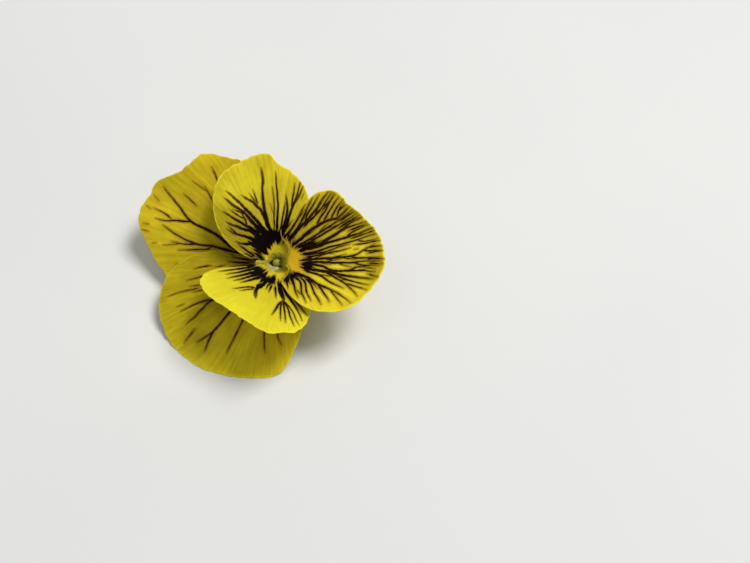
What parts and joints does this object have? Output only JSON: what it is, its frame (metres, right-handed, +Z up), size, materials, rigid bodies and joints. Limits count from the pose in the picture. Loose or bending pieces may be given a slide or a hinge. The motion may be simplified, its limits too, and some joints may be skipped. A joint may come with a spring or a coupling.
{
  "type": "picked pansy bloom",
  "caption": "Picked pansy bloom with overlapping yellow dark-veined petals, cupped lip with nectar spur, green sepals and a short stalk stub, lying on its back.",
  "frame": {"origin": "on the resting surface, under the middle of the bloom's outline", "axes": "+Z up from the resting surface, +X from the throat towards the lip, +Y towards the bloom's right-hand petals"},
  "size_m": [0.0538, 0.0462, 0.0219],
  "materials": {
    "petal_front": "satin, dark veins",
    "petal_back": "satin, sparse dark veins",
    "sepal": "matte",
    "stalk": "satin",
    "pistil": "satin",
    "anther": "matte"
  },
  "bodies": {
    "root": {"petal_top_right": "petal_back", "petal_top_left": "petal_back", "petal_side_left": "petal_front", "petal_side_right": "petal_front", "petal_lip": "petal_front", "sepal_top": "sepal", "sepal_side_right": "sepal", "sepal_side_left": "sepal", "sepal_low_right": "sepal", "sepal_low_left": "sepal", "stalk": "stalk", "pistil": "pistil", "stamens": "anther"}
  },
  "joints": []
}
